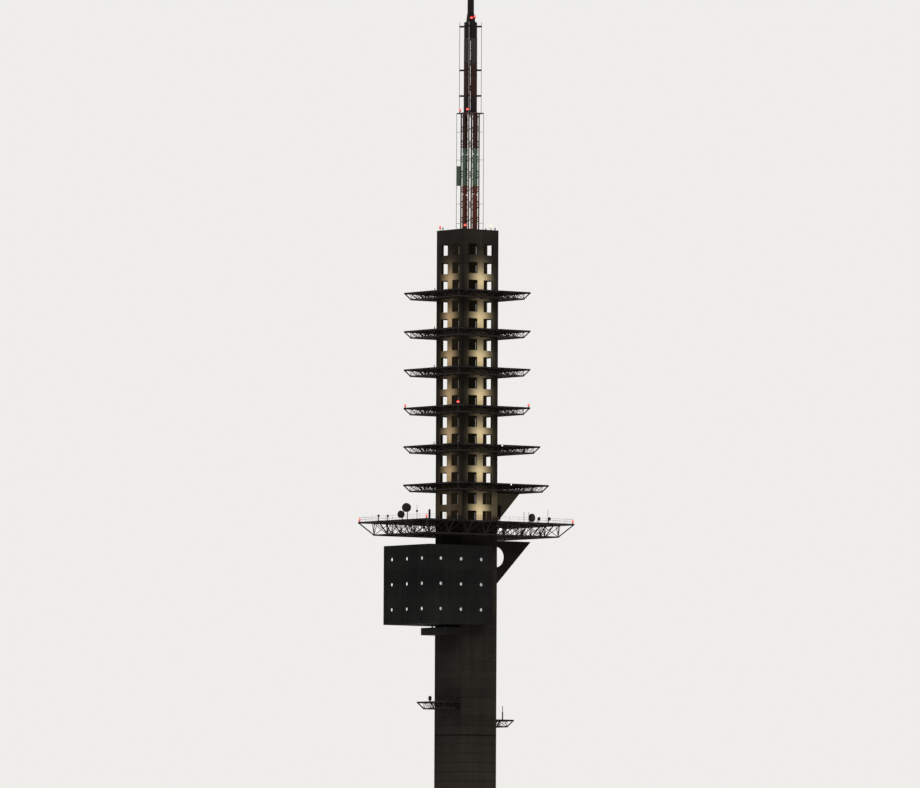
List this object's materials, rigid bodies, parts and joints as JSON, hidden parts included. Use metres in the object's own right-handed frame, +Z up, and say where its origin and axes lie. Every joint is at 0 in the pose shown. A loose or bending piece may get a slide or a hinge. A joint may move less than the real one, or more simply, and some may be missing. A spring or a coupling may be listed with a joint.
{
  "type": "radio mast, scale model at one tenth",
  "caption": "Square concrete radio mast with a pierced head, platforms on space frames, a cubic operations block, fins and a lattice aerial, as a scale model.",
  "frame": {"origin": "centre of the shaft's foot, on the underside of the base slab", "axes": "+Z up the mast; +X towards the fins, -X towards the operations block; +Y across"},
  "size_m": [3.688, 2.293, 28.1968],
  "materials": {
    "shaft_concrete": "matt, fine board and lift marks",
    "block_concrete": "matt",
    "floor_concrete": "matt",
    "deck_steel": "satin, weathered",
    "frame_steel": "satin, galvanised and painted",
    "window_glass": "clear, lit from inside",
    "door_paint": "satin",
    "aerial_paint": "satin, red and white bands",
    "aerial_dark": "satin",
    "dish_paint": "satin",
    "lamp_red": "clear red",
    "lamp_warm": "satin",
    "lamp_white": "clear white"
  },
  "bodies": {
    "root": {"base_slab": "shaft_concrete", "shaft_wall_north": "shaft_concrete", "shaft_wall_south": "shaft_concrete", "shaft_wall_east": "shaft_concrete", "shaft_wall_west": "shaft_concrete", "entrance_door": "door_paint", "corner_piers_north_south": "shaft_concrete", "corner_piers_east_west": "shaft_concrete", "mullions": "shaft_concrete", "shaft_floors": "floor_concrete", "roof_slab": "floor_concrete", "block_wall_west": "block_concrete", "block_wall_north": "block_concrete", "block_wall_south": "block_concrete", "block_walls_east": "block_concrete", "block_base": "block_concrete", "block_roof": "block_concrete", "block_floors": "floor_concrete", "window_panes": "window_glass", "cabin": "deck_steel", "lower_fin": "shaft_concrete", "upper_fin": "shaft_concrete", "balcony_east": "deck_steel", "balcony_west": "deck_steel", "lower_lattice": "aerial_paint", "gallery": "aerial_dark", "upper_lattice": "aerial_paint", "drum": "aerial_dark", "aerial_tip": "aerial_dark", "lower_aerial_panels": "aerial_paint", "upper_aerial_panels": "aerial_paint", "lower_rods": "frame_steel", "upper_rods": "frame_steel", "dishes": "dish_paint", "deck_aerials": "aerial_dark", "obstruction_lamps": "lamp_red", "floodlights": "lamp_warm", "white_lamps": "lamp_white", "wall_panels_east": "shaft_concrete", "deck_frames_east": "frame_steel", "wall_panels_north": "shaft_concrete", "deck_frames_north": "frame_steel", "wall_panels_west": "shaft_concrete", "deck_frames_west": "frame_steel", "wall_panels_south": "shaft_concrete", "deck_frames_south": "frame_steel", "deck_1": "deck_steel", "deck_2": "deck_steel", "deck_3": "deck_steel", "deck_4": "deck_steel", "deck_5": "deck_steel", "deck_6": "deck_steel", "deck_7": "deck_steel"}
  },
  "joints": []
}
